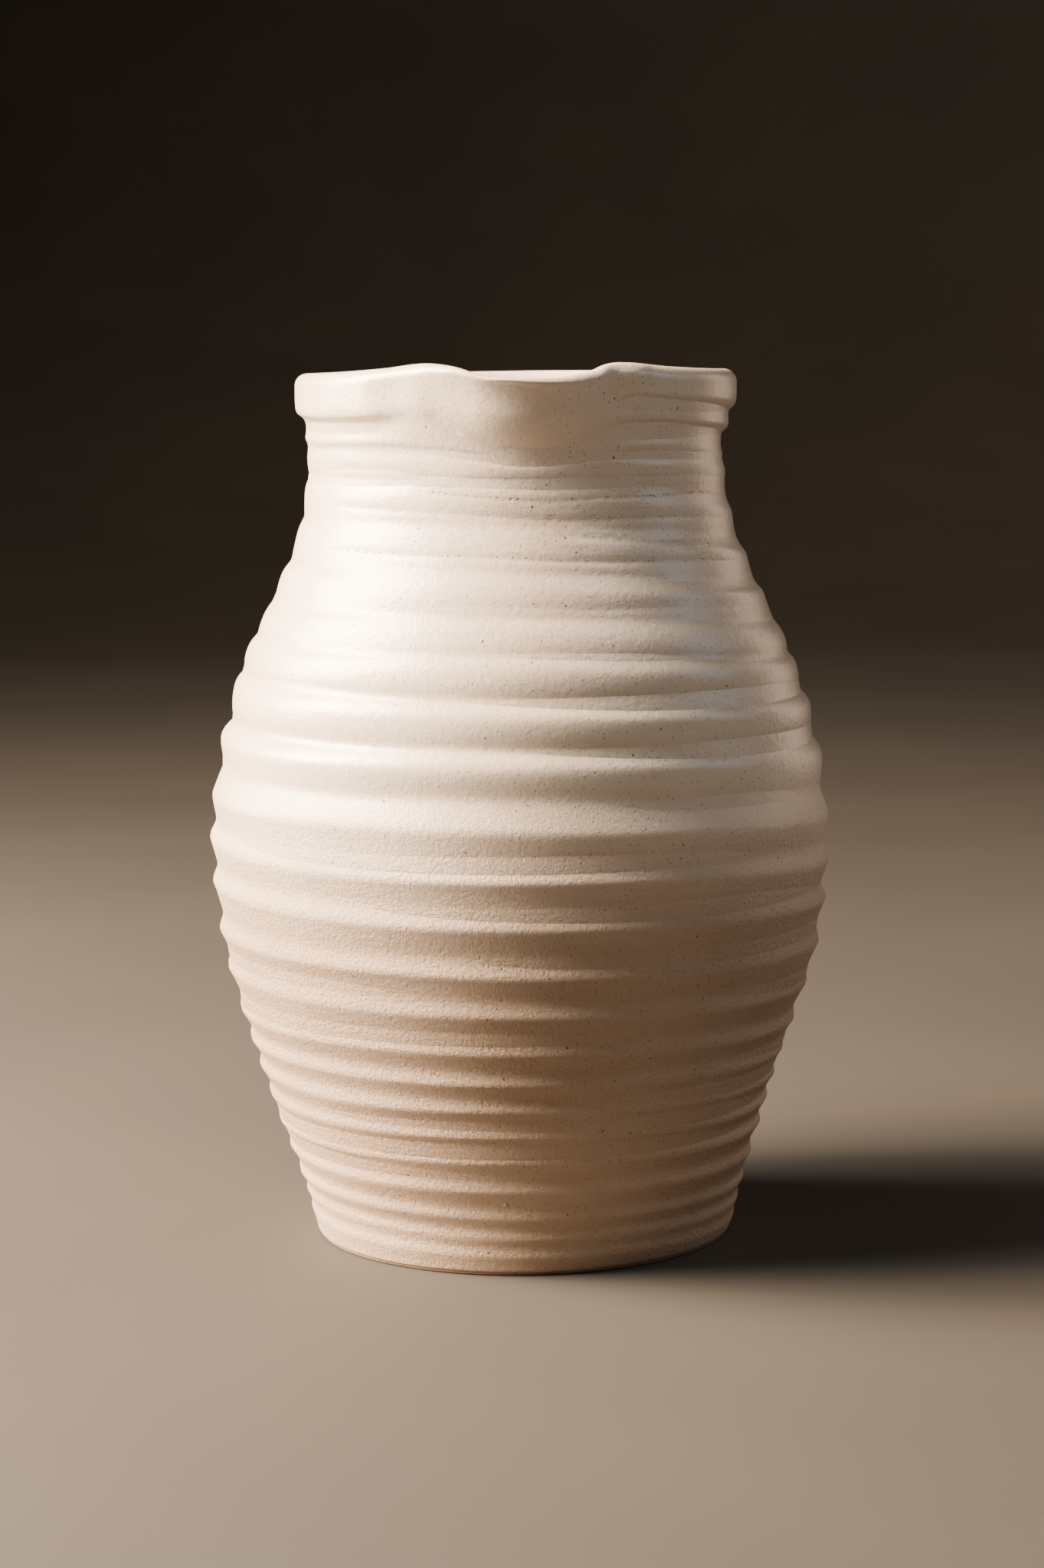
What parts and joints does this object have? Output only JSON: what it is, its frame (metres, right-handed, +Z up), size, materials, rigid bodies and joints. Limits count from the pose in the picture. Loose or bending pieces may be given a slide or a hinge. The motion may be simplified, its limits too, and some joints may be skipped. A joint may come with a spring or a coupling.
{
  "type": "vase",
  "caption": "Wheel-thrown stoneware vase: full belly with spiral throwing ridges, waisted neck, rolled rim with a small pulled pouring lip, glazed inside and out.",
  "frame": {"origin": "centre of the foot, on the surface that the vase stands on", "axes": "+Z up along the throwing axis; -Y towards the front, where the pouring lip is (its middle is turned 5 degrees towards +X)"},
  "size_m": [0.2014, 0.2014, 0.2828],
  "materials": {
    "bare_stoneware": "matt, slightly gritty fired stoneware with iron specks",
    "cream_glaze": "satin-gloss cream glaze with fine brown iron specks, glossier on the shoulder and neck",
    "liner_glaze": "glossy cream glaze with fine brown iron specks"
  },
  "bodies": {
    "root": {"clay_body": "bare_stoneware", "outer_glaze": "cream_glaze", "liner_glaze": "liner_glaze"}
  },
  "joints": []
}
